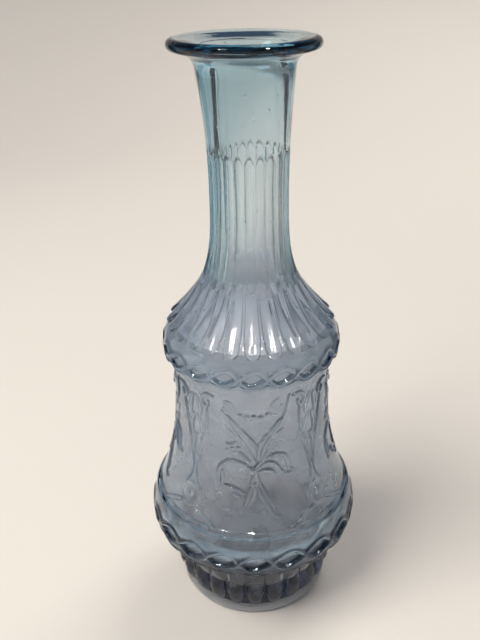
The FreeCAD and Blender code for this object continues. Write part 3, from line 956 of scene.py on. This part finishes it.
def plain_neck():
    """Plain neck: a parabola that goes on with the slope of the neck below and widens to the lip."""
    turn = turn_angles(around=192)
    rows = 36
    share = row_shares(rows)
    level = zone_levels(FLUTE_HIGH, LIP_LOW, rows)
    climb = 2.0 * (FLUTE_TOP - NECK_SLIM) * (LIP_LOW - FLUTE_HIGH) / (FLUTE_HIGH - SLIM_LEVEL)
    swell = NECK_TOP - FLUTE_TOP - climb
    outer = np.stack([FLUTE_TOP + climb * share + swell * share**2, level], axis=-1)
    inner = np.stack([np.full(rows, BORE), level], axis=-1)
    glass_piece("plain_neck", turn, [spread(outer, turn), inside(inner, turn)], ["plain_neck"], GLASS)


def lip_flange():
    """Lip: the neck's turned profile flares into a round-edged flange that runs down into the mouth."""
    turn = turn_angles(around=240)
    outer = wall_line(
        [
            (NECK_TOP, LIP_LOW + HAIRLINE),
            (18.5, 240.4),
            (19.3, 242.4),
            (21.2, 244.3),
            (24.0, 245.5),
            (26.0, 245.9),
            (27.4, 246.6),
            (LIP_RADIUS, 247.9),
            (27.4, 249.3),
            (26.0, LIP_HIGH),
            (23.0, 249.8),
            (19.0, 248.9),
            MOUTH_EDGE,
        ],
        rows=80,
    )
    inner = wall_line(
        [
            (BORE, LIP_LOW + HAIRLINE),
            (BORE, 239.2),
            (12.15, 241.0),
            (12.9, 243.6),
            (14.2, 245.7),
            MOUTH_EDGE,
        ],
        rows=28,
    )
    whole = [np.concatenate(grids) for grids in zip(spread(outer[:-1], turn), inside(inner, turn))]
    glass_piece("lip_flange", turn, [whole], ["lip_flange"], GLASS)


# Stage, light and camera

FLOOR_FLAT = 0.8
FLOOR_END = 2.1
SWEEP_HEIGHT = 0.4
CARD_AWAY = 0.3
CARD_HALF = 0.055
CARD_HIGH = 0.3
CARD_BEARING = 55.0
LIGHT_COLOUR = "FFFAF4"
LIGHT_AIM = (0.0, 0.0, 0.12)
LAMP_HEIGHT = 0.83
CAMERA_DOWN = 27.7
CAMERA_ROLL = 1.2


def studio_floor():
    """A round floor that sweeps up at its edge: height grows with the square of the run past the flat."""
    flat = np.linspace(0.02, FLOOR_FLAT, 12)
    radius = np.concatenate([flat, np.linspace(0.85, FLOOR_END, 36)])[:, None]
    turn = turn_angles(around=96)
    height = SWEEP_HEIGHT * np.clip((radius - FLOOR_FLAT) / FLOOR_FLAT, 0.0, None) ** 2
    points = np.stack([radius * np.sin(turn), -radius * np.cos(turn), height + 0.0 * turn], axis=-1)
    index = np.arange(points.size // 3).reshape(points.shape[:2])
    beside = np.roll(index, -1, axis=1)
    quads = np.stack([index[1:], beside[1:], beside[:-1], index[:-1]], axis=-1).reshape(-1, 4)
    mesh = bpy.data.meshes.new("studio_floor")
    mesh.from_pydata(points.reshape(-1, 3), [], quads.tolist() + [index[0].tolist()], shade_flat=False)
    mesh.materials.append(matt("floor_matt_warm_white", "EAE4DB"))
    floor = bpy.data.objects.new("studio_floor", mesh)
    bpy.context.scene.collection.objects.link(floor)


def dark_card(name, bearing, material):
    """A dark card beside the bottle that draws the edges of the glass, and is only seen in the glass.

    It is a flat upright board at a bearing from straight ahead of the camera, facing the bottle.
    """
    turn = math.radians(bearing)
    middle = np.array([math.sin(turn), math.cos(turn)]) * CARD_AWAY
    across = np.array([math.cos(turn), -math.sin(turn)]) * CARD_HALF
    left = middle - across
    right = middle + across
    corners = [(*left, 0.0), (*right, 0.0), (*right, CARD_HIGH), (*left, CARD_HIGH)]
    mesh = bpy.data.meshes.new(name)
    mesh.from_pydata(corners, [], [(0, 1, 2, 3)])
    mesh.materials.append(material)
    card = bpy.data.objects.new(name, mesh)
    card.visible_camera = False
    card.visible_shadow = False
    card.visible_diffuse = False
    bpy.context.scene.collection.objects.link(card)


def dark_cards():
    """One dark card on each side of the bottle."""
    material = matt("card_matt_dark_slate", "2A2E36")
    for side, bearing in (("left", -CARD_BEARING), ("right", CARD_BEARING)):
        dark_card(f"dark_card_{side}", bearing, material)


def soft_light(name, place, size, power):
    """A square soft light at a place in metres, turned to face the bottle's middle."""
    lamp = bpy.data.lights.new(name, "AREA")
    lamp.shape = "SQUARE"
    lamp.size = size
    lamp.energy = power
    lamp.color = linear(LIGHT_COLOUR)[:3]
    light = bpy.data.objects.new(name, lamp)
    toward = Vector(LIGHT_AIM) - Vector(place)
    light.rotation_euler = toward.to_track_quat("-Z", "Y").to_euler()
    light.location = place
    bpy.context.scene.collection.objects.link(light)
    return light


def studio_lights():
    """Key and back lights that leave no reflection, and three small lamps that only draw highlights."""
    key = soft_light("key_light", (-0.7, -0.4, 1.2), size=0.8, power=18.0)
    back = soft_light("back_light", (0.5, 0.9, 1.0), size=0.8, power=9.0)
    for light in (key, back):
        light.visible_glossy = False
    # The back light is not to be seen through the glass
    back.visible_transmission = False
    for side, across, ahead in (("left", -0.37, -0.42), ("middle", -0.03, -0.53), ("right", 0.36, -0.42)):
        lamp = soft_light(f"lamp_{side}", (across, ahead, LAMP_HEIGHT), size=0.07, power=2.6)
        lamp.visible_diffuse = False


def studio_world():
    """Dim, cool, even surroundings: the pale background is the floor's own colour."""
    world = bpy.data.worlds.new("studio")
    world.use_nodes = True
    tree = world.node_tree
    tree.nodes.clear()
    air = add_node(tree, "ShaderNodeBackground", {"Color": linear("A9BBDD"), "Strength": 0.16})
    add_node(tree, "ShaderNodeOutputWorld", {"Surface": air.outputs["Background"]})
    bpy.context.scene.world = world


def photo_camera():
    """Camera at the picture's angle, looking down at the bottle with a slight hand-held roll."""
    lens = bpy.data.cameras.new("camera")
    lens.sensor_width = 36.0
    lens.lens = 40.5
    lens.clip_start = 0.01
    camera = bpy.data.objects.new("camera", lens)
    camera.location = (-4.5 * MM, -270.0 * MM, 279.25 * MM)
    tilt = Matrix.Rotation(math.radians(90.0 - CAMERA_DOWN), 3, "X")
    roll = Matrix.Rotation(math.radians(-CAMERA_ROLL), 3, "Z")
    camera.rotation_euler = (tilt @ roll).to_euler()
    bpy.context.scene.collection.objects.link(camera)
    bpy.context.scene.camera = camera


floor_disc()
foot_ring()
lower_cable_ring()
body_panels()
upper_cable_ring()
lobed_zone("gadrooned_shoulder", SHOULDER_LOW, NECK_LOW, rows=80, inner_rows=56, material=BODY_GLASS)
lobed_zone("fluted_neck", NECK_LOW, FLUTE_HIGH, rows=104, inner_rows=30, material=GLASS)
plain_neck()
lip_flange()

studio_floor()
dark_cards()
studio_lights()
studio_world()
photo_camera()
bpy.context.scene.view_settings.view_transform = "Standard"

# Each wall, and each joint inside a wall, takes one bounce of the light that crosses it
bpy.context.scene.cycles.max_bounces = 32
bpy.context.scene.cycles.transmission_bounces = 32
